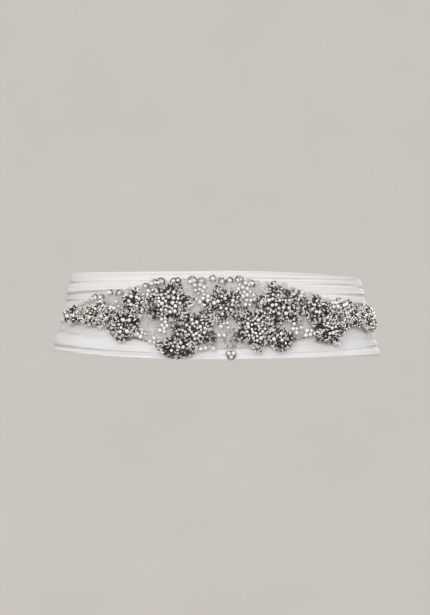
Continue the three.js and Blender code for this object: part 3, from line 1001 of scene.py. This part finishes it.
PATCH_ROWS = [
    (-119, 2, 7, 7, 0.55),
    (-89, 0, 6, 7, 0.55),
    (-57, 11, 8, 7, 0.4),
    (-75, 3, 9, 5, 0.4),
    (-29, -1, 8, 6, 0.5),
    (-24, -20, 10, 7, 0.35),
    (-8, 0, 7, 7, 0.4),
    (22, 1, 8, 7, 0.45),
    (42, 1, 9, 7, 0.45),
    (42, -17, 7, 7, 0.4),
    (74, 9, 8, 8, 0.4),
    (94, -2, 9, 6, 0.4),
    (111, -5, 8, 6, 0.5),
    (106, 5, 7, 6, 0.5),
    (135, 1, 8, 8, 0.55),
]
PATCHES = [dict(zip(PATCH_COLUMNS, row)) for row in PATCH_ROWS]
print("trails:", len(TRAILS), "patches:", len(PATCHES))

# %% [markdown]
# ## Loops and cord
# Loops of small dark seeds with pearls inside scallop the upper edge of the net, and a fine cord of
# seeds runs along parts of its lower edge. A seed's hole follows its thread, so each one is turned
# along the loop or the edge. Loops with room for it hold a pair of pearls.

# %% Loops and cord
LOOP_STRETCHES = [(-112, -84), (-68, 34), (110, 126)]
LOOP_RADIUS = (2.4, 4.2)
LOOP_TURN = (math.radians(-30), math.radians(210))
LOOP_RISE, LOOP_SHIFT = 1.6, 1.6
PAIR_RADIUS = 3.3
PAIR_STEP = np.array([1.5, 0.5])
CORD_STRETCHES = [(-88, -44), (60, 94)]
CORD_SPACING = 1.3
CORD_PALE = 0.2
FINE_SEED_RADIUS = 0.5
FINE_SEED_LENGTH = 1
NET_SEED = 7


def on_net(place):
    """Points on the net at lengths along the band and heights."""
    turn = turn_at(place[..., 0])
    return figure_points(turn, place[..., 1], net_out(turn) + NET_WALL)


rng = np.random.default_rng(NET_SEED)
seeds, headings, pearls = [], [], []
for k in range(int(net_start / SCALLOP_PITCH), int(net_end / SCALLOP_PITCH)):
    middle = (k + 0.5) * SCALLOP_PITCH
    if not any(start < middle < end for start, end in LOOP_STRETCHES):
        continue
    radius = rng.uniform(*LOOP_RADIUS)
    crest = float(net_edge(np.array(middle), 1)) + rng.uniform(-LOOP_RISE, LOOP_RISE)
    centre = np.array([middle + rng.normal(0, LOOP_SHIFT), crest - radius])
    angles = np.arange(*LOOP_TURN, FINE_SEED_LENGTH / radius)
    seeds.append(centre + radius * np.column_stack([np.cos(angles), np.sin(angles)]))
    headings.append(angles + math.pi / 2)
    if radius > PAIR_RADIUS:
        pearls += [centre - PAIR_STEP, centre + PAIR_STEP]
    else:
        pearls.append(centre)
cord_along = np.concatenate([np.arange(start, end, CORD_SPACING) for start, end in CORD_STRETCHES])
cord = np.column_stack([cord_along, net_edge(cord_along, -1) + FINE_SEED_RADIUS])
seeds = np.concatenate([*seeds, cord])
headings = np.concatenate([*headings, np.arctan(np.gradient(cord[:, 1], cord_along))])
fine_size = np.tile([FINE_SEED_RADIUS, FINE_SEED_RADIUS, FINE_SEED_LENGTH], (len(seeds), 1))
seed_tones = bead_tones(rng, CORD_PALE, len(seeds))
net_lots = [bead_lot(on_net, SEED, seeds, headings, fine_size, FINE_SEED_RADIUS, seed_tones)]
print("seeds in the loops and the cord:", len(seeds))

# %% [markdown]
# ## Pearls on the net
# The pearls of the trails are a little larger than those of the flowers. They settle one by one, clear
# of the pearls in the loops, and all of them become one mesh.

# %% Pearls on the net
TRAIL_RADIUS = (1.35, 2)


def in_oval(rng, patch, count):
    """Random places in the oval of a trail or patch."""
    spread = rng.uniform(0, 2 * math.pi, count)
    share = np.sqrt(rng.uniform(0, 1, count))
    half = np.array([patch["half_long"], patch["half_tall"]])
    centre = np.array([patch["along"], patch["height"]])
    return centre + half * (share * np.stack([np.cos(spread), np.sin(spread)])).T


pearls = np.array(pearls)
pearl_radii = rng.uniform(*PEARL_RADIUS, len(pearls))
taken = np.column_stack([pearls, pearl_radii])
for trail in TRAILS:
    places = in_oval(rng, trail, PEARL_TRIES)
    radii = rng.uniform(*TRAIL_RADIUS, PEARL_TRIES)
    kept, taken = settle(taken, places, radii, 2 * radii, radii, trail["pearls"])
    pearls = np.vstack([pearls, places[kept]])
    pearl_radii = np.concatenate([pearl_radii, radii[kept]])
net_pearls = join_beads("net_pearls", [ball_lot(on_net, rng, pearls, pearl_radii, 0)])
print("pearls on the net:", len(pearls))

# %% [markdown]
# ## Patches and single seeds
# The patches take the same kinds of bead as the flowers. Single seeds are strewn over the open net
# from edge to edge, with a closer sprinkle of darker ones above the drop.

# %% Patches and single seeds
PATCH_TRIES = 500
STRAY_SEEDS = 2000
STRAY_RADIUS = (0.3, 0.55)
STRAY_INSET = 3
STRAY_BAND = (0.04, 0.96)
SPRINKLE = {"along": 12, "height": -17.5, "half_long": 6, "half_tall": 9}
SPRINKLE_SEEDS = 110
STRAY_PALE, SPRINKLE_PALE = 0.92, 0.4


def outside_motifs(places):
    """True for places on the net outside the outline of every motif."""
    outside = np.ones(len(places), dtype=bool)
    for motif in MOTIFS:
        offset = places - np.array([motif["along"], motif["height"]])
        outside &= motif_polar(motif, offset)[1] > 1
    return outside


for patch in PATCHES:
    places = in_oval(rng, patch, PATCH_TRIES)
    places = places[outside_motifs(places)]
    eye = np.array([patch["along"], patch["height"]])
    net_lots += strew(on_net, rng, places, eye, patch["pale"], taken)
stray_along = rng.uniform(net_start + STRAY_INSET, net_end - STRAY_INSET, STRAY_SEEDS)
stray_up = rng.uniform(*STRAY_BAND, STRAY_SEEDS)
stray_height = net_edge(stray_along, -1) * (1 - stray_up) + net_edge(stray_along, 1) * stray_up
strays = np.column_stack([stray_along, stray_height])
strays = strays[outside_motifs(strays)]
sprinkle = in_oval(rng, SPRINKLE, SPRINKLE_SEEDS)
for places, pale in ((strays, STRAY_PALE), (sprinkle[outside_motifs(sprinkle)], SPRINKLE_PALE)):
    radii = rng.uniform(*STRAY_RADIUS, len(places))
    sizes = np.repeat(radii[:, None], 3, axis=1)
    headings = rng.uniform(0, math.pi, len(places))
    tones = bead_tones(rng, pale, len(places))
    net_lots.append(bead_lot(on_net, SEED, places, headings, sizes, radii, tones))
net_beads = join_beads("net_beads", net_lots)
print("beads on the net:", sum(len(beads["centre"]) for beads in net_lots))

# %% [markdown]
# ## The pearl drop
# Three large pearls are sewn on together below the middle of the applique, inside a ring of dark seed
# beads. The pearls are set in a triangle with one pointing down, and the ring swells round each of
# them.

# %% Pearl drop
DROP_ALONG, DROP_HEIGHT = 12, -32
DROP_PEARL_RADIUS = 1.8
DROP_SPREAD = 2.2
DROP_LIFT = 1.2
DROP_TONES = np.array([0.4, 0.7, 0.6])
RING_RADIUS, RING_SWELL = 3.5, 0.6
RING_SEEDS = 22
RING_SEED_RADIUS = 0.65
RING_PALE = 0


def on_folds(place):
    """Points on the crests of the folds at lengths along the band and heights."""
    turn = turn_at(place[..., 0])
    return figure_points(turn, place[..., 1], net_out(turn))


drop_angles = np.radians([-90, 30, 150])
drop_middle = np.array([DROP_ALONG, DROP_HEIGHT])
drop_places = drop_middle + DROP_SPREAD * np.column_stack([np.cos(drop_angles), np.sin(drop_angles)])
drop_size = np.full((len(drop_places), 3), DROP_PEARL_RADIUS)
drop_above = DROP_LIFT + DROP_PEARL_RADIUS / 2
drop_lot = bead_lot(on_folds, PEARL, drop_places, 0, drop_size, drop_above, DROP_TONES)
drop_pearls = join_beads("drop_pearls", [drop_lot])
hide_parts("pearl_drop")
ring_angles = np.linspace(0, 2 * math.pi, RING_SEEDS, endpoint=False)
ring_reach = RING_RADIUS + RING_SWELL * np.cos(len(drop_places) * (ring_angles - drop_angles[0]))
ring_offsets = ring_reach[:, None] * np.column_stack([np.cos(ring_angles), np.sin(ring_angles)])
ring_size = np.full((RING_SEEDS, 3), RING_SEED_RADIUS)
ring_tones = bead_tones(rng, RING_PALE, RING_SEEDS)
ring_places, ring_headings = drop_middle + ring_offsets, ring_angles + math.pi / 2
ring_lot = bead_lot(on_folds, SEED, ring_places, ring_headings, ring_size, RING_SEED_RADIUS, ring_tones)
drop_ring = join_beads("drop_ring", [ring_lot])
print("drop pearls:", len(drop_places))

# %% [markdown]
# ## Materials
# Each finish starts from what the real one is. One small function adds a node with its settings, its
# links and a ramp's stops, and another turns a colour's hex value into linear light.

# %% Material helpers
# The wave texture repeats at this length where its scale is one.
WAVE_LENGTH = 2 * math.pi / 20


def colour(hex_value):
    """An sRGB hex value as linear light."""
    channels = [int(hex_value[k:k + 2], 16) / 255 for k in (0, 2, 4)]
    linear = [c / 12.92 if c <= 0.04045 else ((c + 0.055) / 1.055) ** 2.4 for c in channels]
    return (*linear, 1)


def new_material(name):
    material = bpy.data.materials.new(name)
    material.use_nodes = True
    material.node_tree.nodes.clear()
    return material


def add(material, kind, settings=None, links=None, stops=()):
    """Add a node, set its properties and sockets by name, link its sockets and place its stops."""
    tree = material.node_tree
    node = tree.nodes.new(kind)
    for name, value in (settings or {}).items():
        if name in node.inputs:
            node.inputs[name].default_value = value
        else:
            setattr(node, name, value)
    for name, output in (links or {}).items():
        tree.links.new(output, node.inputs[name])
    for k, (place, hex_value) in enumerate(stops):
        if k == len(node.color_ramp.elements):
            node.color_ramp.elements.new(place)
        node.color_ramp.elements[k].position = place
        node.color_ramp.elements[k].color = colour(hex_value)
    return node


print("middle grey is", round(colour("808080")[0], 3), "in linear light")

# %% [markdown]
# ## Chiffon
# Silk chiffon is a sheer plain weave of tightly twisted threads, so it is matt, faintly pebbled and
# soft at the edges. The real threads are about 0.15 mm apart, too fine to show, so the weave is drawn
# at 0.7 mm. The colour carries painted shade: it is greyer in the creases and whiter on the crests,
# where a fold also doubles the cloth.

# %% Chiffon
CHIFFON_THREAD = 0.7
CHIFFON_PEBBLE = 1.4
CHIFFON_RELIEF = 0.2

chiffon = new_material("silk_chiffon")
place = add(chiffon, "ShaderNodeTexCoord")
on_cloth = {"Vector": place.outputs["UV"]}
thread_scale = WAVE_LENGTH / (MM * CHIFFON_THREAD)
warp = add(chiffon, "ShaderNodeTexWave", {"bands_direction": "X", "Scale": thread_scale}, on_cloth)
weft = add(chiffon, "ShaderNodeTexWave", {"bands_direction": "Y", "Scale": thread_scale}, on_cloth)
weave = add(
    chiffon, "ShaderNodeMath", {"operation": "MULTIPLY"}, {0: warp.outputs["Fac"], 1: weft.outputs["Fac"]}
)
pebble = add(chiffon, "ShaderNodeTexNoise", {"Scale": 1 / (MM * CHIFFON_PEBBLE), "Detail": 3}, on_cloth)
texture = add(
    chiffon, "ShaderNodeMath", {"operation": "ADD"}, {0: weave.outputs[0], 1: pebble.outputs["Fac"]}
)
bump = add(
    chiffon, "ShaderNodeBump", {"Strength": 0.12, "Distance": MM * CHIFFON_RELIEF},
    {"Height": texture.outputs[0]},
)
fold = add(chiffon, "ShaderNodeAttribute", {"attribute_name": "fold"})
# Painted shade: greyer where the cloth stands less far out, most of all in the creases.
crease_shade = add(
    chiffon, "ShaderNodeValToRGB", None, {"Fac": fold.outputs["Fac"]},
    [(0, "DAD9D8"), (0.3, "E1E0DF"), (1, "E7E6E5")],
)
surface = add(
    chiffon, "ShaderNodeBsdfPrincipled",
    {"Roughness": 0.82, "Sheen Weight": 0.2, "Sheen Roughness": 0.5, "Specular IOR Level": 0.25},
    {"Base Color": crease_shade.outputs["Color"], "Normal": bump.outputs["Normal"]},
)
add(chiffon, "ShaderNodeOutputMaterial", None, {"Surface": surface.outputs["BSDF"]})
print("chiffon:", len(chiffon.node_tree.nodes), "nodes")

# %% [markdown]
# ## Net
# Nylon tulle is a knitted net of fine thread that lets most of the cloth behind it show. Its real
# holes are under 1 mm across and are drawn at 1.3 mm, so that they show. The thread is a warm blush
# grey with a slight sheen, and it is denser in some places than in others.

# %% Net
TULLE_HOLE = 1.3
TULLE_CLOUD = 9

tulle = new_material("nylon_tulle")
place = add(tulle, "ShaderNodeTexCoord")
on_cloth = {"Vector": place.outputs["UV"]}
holes = add(
    tulle, "ShaderNodeTexVoronoi",
    {
        "voronoi_dimensions": "2D",
        "feature": "DISTANCE_TO_EDGE",
        "Scale": 1 / (MM * TULLE_HOLE),
        "Randomness": 0.9,
    },
    on_cloth,
)
threads = add(
    tulle, "ShaderNodeMapRange", {"From Min": 0.08, "From Max": 0.22, "To Min": 0.38, "To Max": 0.05},
    {"Value": holes.outputs["Distance"]},
)
shade = add(tulle, "ShaderNodeTexNoise", {"Scale": 1 / (MM * TULLE_CLOUD), "Detail": 3}, on_cloth)
blush = add(
    tulle, "ShaderNodeValToRGB", None, {"Fac": shade.outputs["Fac"]}, [(0.35, "AC9F9A"), (0.65, "DDD5D2")]
)
surface = add(
    tulle, "ShaderNodeBsdfPrincipled", {"Roughness": 0.6, "Sheen Weight": 0.3},
    {"Base Color": blush.outputs["Color"], "Alpha": threads.outputs["Result"]},
)
add(tulle, "ShaderNodeOutputMaterial", None, {"Surface": surface.outputs["BSDF"]})
print("tulle:", len(tulle.node_tree.nodes), "nodes")

# %% [markdown]
# ## Silver-lined glass
# Seed and bugle beads are cut from drawn glass tube and lined with silver, so they mirror the room in
# small dark and bright patches. That is close to a polished metal under a clear coat. Each bead's own
# tone picks its lining from black to bright, and a fine noise makes its gloss uneven.

# %% Silver-lined glass
BEAD_WEAR = 1.2


def make_beads(name, stops, patch, gloss, settings):
    """Beads that each take a tone from a ramp, with a gloss that changes over patches of a real size."""
    material = new_material(name)
    tone = add(material, "ShaderNodeAttribute", {"attribute_name": "tone"})
    body = add(material, "ShaderNodeValToRGB", None, {"Fac": tone.outputs["Fac"]}, stops)
    place = add(material, "ShaderNodeTexCoord")
    on_piece = {"Vector": place.outputs["Object"]}
    cloud = add(material, "ShaderNodeTexNoise", {"Scale": 1 / (MM * patch), "Detail": 2}, on_piece)
    lowest, highest = gloss
    rough = add(
        material, "ShaderNodeMapRange", {"To Min": lowest, "To Max": highest}, {"Value": cloud.outputs["Fac"]}
    )
    links = {"Base Color": body.outputs["Color"], "Roughness": rough.outputs["Result"]}
    surface = add(material, "ShaderNodeBsdfPrincipled", settings, links)
    add(material, "ShaderNodeOutputMaterial", None, {"Surface": surface.outputs["BSDF"]})
    return material


silver = make_beads(
    "silver_lined_glass", [(0, "17110F"), (0.5, "968881"), (1, "FFF9F3")], BEAD_WEAR, (0.1, 0.34),
    {"Metallic": 0.4, "Coat Weight": 0.6, "Coat Roughness": 0.05},
)
print("silver-lined glass:", len(silver.node_tree.nodes), "nodes")

# %% [markdown]
# ## Imitation pearl
# An imitation pearl is a bead dipped in layers of pearl lacquer. Tiny flakes in the lacquer mirror the
# light, so its ivory body is bright where it faces a lamp and darker towards the rim. A clear coat
# gives a small sharp highlight, and the body is a little different from pearl to pearl.

# %% Imitation pearl
NACRE_CLOUD = 2

nacre = make_beads(
    "imitation_pearl", [(0, "E4DDD6"), (0.5, "F2EDE8"), (1, "FDFAF7")], NACRE_CLOUD, (0.18, 0.32),
    {"Metallic": 0.35, "Coat Weight": 0.8, "Coat Roughness": 0.06},
)
print("imitation pearl:", len(nacre.node_tree.nodes), "nodes")

# %% [markdown]
# ## Foiled crystal
# The stone in the eye of a flower is cut glass with a metal foil behind it. Its flat facets flash or
# go dark as a whole, and the foil's uneven tone keeps it from looking like plain metal.

# %% Foiled crystal
FOIL_PATCH = 1.5


def make_mottled(name, stops, patch, detail, settings, relief=0):
    """A finish whose colour drifts over patches of a real size, which may also stand up a little."""
    material = new_material(name)
    place = add(material, "ShaderNodeTexCoord")
    on_piece = {"Vector": place.outputs["Object"]}
    cloud = add(material, "ShaderNodeTexNoise", {"Scale": 1 / (MM * patch), "Detail": detail}, on_piece)
    tint = add(material, "ShaderNodeValToRGB", None, {"Fac": cloud.outputs["Fac"]}, stops)
    links = {"Base Color": tint.outputs["Color"]}
    if relief:
        raised = {"Height": cloud.outputs["Fac"]}
        bump = add(material, "ShaderNodeBump", {"Strength": 0.6, "Distance": MM * relief}, raised)
        links["Normal"] = bump.outputs["Normal"]
    surface = add(material, "ShaderNodeBsdfPrincipled", settings, links)
    add(material, "ShaderNodeOutputMaterial", None, {"Surface": surface.outputs["BSDF"]})
    return material


crystal = make_mottled(
    "foiled_crystal", [(0.35, "2C2A2A"), (0.65, "B9B6B4")], FOIL_PATCH, 1,
    {"Metallic": 0.9, "Roughness": 0.06, "Coat Weight": 1},
)
print("foiled crystal:", len(crystal.node_tree.nodes), "nodes")

# %% [markdown]
# ## Threads
# The padding under the beads is coloured almost black as painted shade, so the gaps between beads go
# dark as they do in shadow; it is drawn as dull, ridged thread. The stitches are spun polyester thread,
# ivory like the cloth and a little shinier.
# Both are drawn as strands of their own width, which colour the thread and stand up by half of it.

# %% Threads
PADDING_STRAND, SPUN_STRAND = 0.9, 0.3

# Painted shade: the padding is near black so that the gaps between the beads read as shadow.
padding_painted_shade = make_mottled(
    "padding_painted_shade", [(0.3, "120E0D"), (0.7, "443B38")], PADDING_STRAND, 4,
    {"Metallic": 0.3, "Roughness": 0.55}, PADDING_STRAND / 2,
)
sewing_thread = make_mottled(
    "polyester_thread", [(0.3, "D2CEC8"), (0.7, "E6E2DC")], SPUN_STRAND, 4,
    {"Roughness": 0.6}, SPUN_STRAND / 2,
)
print("threads:", padding_painted_shade.name, sewing_thread.name)

# %% [markdown]
# ## Finishing the pieces
# Every piece gets its finish and the body that carries it. The sash has no moving parts, so all of
# them ride on the one body.

# %% Finishing the pieces


def finish_piece(piece, material):
    piece.data.materials.clear()
    piece.data.materials.append(material)
    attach(piece, "root")


for piece in (band, binding_over, binding_under):
    finish_piece(piece, chiffon)
finish_piece(stitches, sewing_thread)
finish_piece(net, tulle)
for padding in paddings.values():
    finish_piece(padding, padding_painted_shade)
for pieces in motif_pieces.values():
    finish_piece(pieces["beads"], silver)
    finish_piece(pieces["pearls"], nacre)
    if "stone" in pieces:
        finish_piece(pieces["stone"], crystal)
finish_piece(net_beads, silver)
finish_piece(net_pearls, nacre)
finish_piece(drop_pearls, nacre)
finish_piece(drop_ring, silver)
print("finishes:", len(bpy.data.materials))

# %% [markdown]

# %% [markdown]
# ## Floor
# The sash hangs in the middle of a round stage, a pale floor that turns up into a wall all round, so
# every side is seen against plain paper. It starts as a cylinder: the lid is deleted, and the lower
# rim is bevelled into a cove. The paper glows a little, as a backdrop with lamps of its own does, and
# only the camera sees it, so that it adds nothing to the light on the cloth.

# %% Floor
FLOOR_HEIGHT = -1
STAGE_RADIUS = 4.6
STAGE_HEIGHT = 5
STAGE_SIDES = 128
LID_FACING = 0.5
COVE = 1.6
COVE_STEPS = 24

stage_middle = FLOOR_HEIGHT + STAGE_HEIGHT / 2
bpy.ops.object.select_all(action="DESELECT")
bpy.ops.mesh.primitive_cylinder_add(
    vertices=STAGE_SIDES, radius=STAGE_RADIUS, depth=STAGE_HEIGHT, location=(0, 0, stage_middle)
)
bpy.ops.object.transform_apply()
floor = bpy.context.object
floor.name = floor.data.name = "floor"
bpy.ops.object.mode_set(mode="EDIT")
bpy.ops.mesh.select_mode(type="FACE")
bpy.ops.mesh.select_all(action="DESELECT")
bpy.ops.object.mode_set(mode="OBJECT")
for face in floor.data.polygons:
    face.select = face.normal.z > LID_FACING
bpy.ops.object.mode_set(mode="EDIT")
bpy.ops.mesh.delete(type="FACE")
bpy.ops.mesh.select_mode(type="EDGE")
bpy.ops.mesh.select_all(action="DESELECT")
select_edges(lambda co: co.z < stage_middle)
bpy.ops.mesh.bevel(offset=COVE, segments=COVE_STEPS)
bpy.ops.mesh.select_all(action="SELECT")
bpy.ops.mesh.flip_normals()
bpy.ops.object.mode_set(mode="OBJECT")
bpy.ops.object.shade_smooth()
floor.visible_diffuse = floor.visible_glossy = floor.visible_shadow = False
print("stage:", len(floor.data.polygons), "faces")

# %% Paper
PAPER_GLOW = 0.66
PAPER_CLOUD = 170

paper = make_mottled(
    "pale_paper", [(0.3, "A29D98"), (0.7, "A9A49F")], PAPER_CLOUD, 3,
    {"Roughness": 0.9, "Emission Strength": PAPER_GLOW, "Emission Color": colour("D6D0CA")},
)
floor.data.materials.append(paper)
print("paper:", len(paper.node_tree.nodes), "nodes")

# %% [markdown]
# ## Light and world
# Soft boxes light the sash as in a studio: a key from the upper left, weaker ones in front, above,
# below and at the sides, and one behind for the back. A small lamp gives the beads their glints. Each
# row has a lamp's place and size in metres and its power in watts, and the world fills the shadows.

# %% Light and world
ROOM_GLOW = 0.4
LIGHT_COLUMNS = ("name", "place", "size", "power")
LIGHT_ROWS = [
    ("key", (-1.0, -2.5, 1.1), 0.9, 25),
    ("front", (-0.1, -2.8, 0.1), 1.4, 11),
    ("fill", (1.7, -2.0, 0.4), 1.2, 6),
    ("top", (0, -0.7, 1.9), 1.0, 12),
    ("glint", (0.35, -1.6, 0.75), 0.16, 5),
    ("low", (-0.2, -2.2, -0.8), 1.2, 9),
    ("rim_left", (-1.6, 0.5, 0.5), 0.8, 6),
    ("rim_right", (1.6, 0.4, 0.5), 0.8, 8),
    ("back", (0.8, 2.7, 0.9), 1.2, 54),
]
for row in LIGHT_ROWS:
    light = dict(zip(LIGHT_COLUMNS, row))
    data = bpy.data.lights.new(light["name"], "AREA")
    data.size = light["size"]
    data.energy = light["power"]
    lamp = bpy.data.objects.new(light["name"], data)
    lamp.location = light["place"]
    lamp.visible_camera = False
    lamp.rotation_euler = (-lamp.location).to_track_quat("-Z", "Y").to_euler()
    bpy.context.scene.collection.objects.link(lamp)
print("lamps:", len(LIGHT_ROWS))

world = bpy.data.worlds.new("soft_room")
world.use_nodes = True
world.node_tree.nodes["Background"].inputs["Color"].default_value = colour("CAC9C8")
world.node_tree.nodes["Background"].inputs["Strength"].default_value = ROOM_GLOW
bpy.context.scene.world = world
bpy.context.scene.view_settings.view_transform = "Standard"
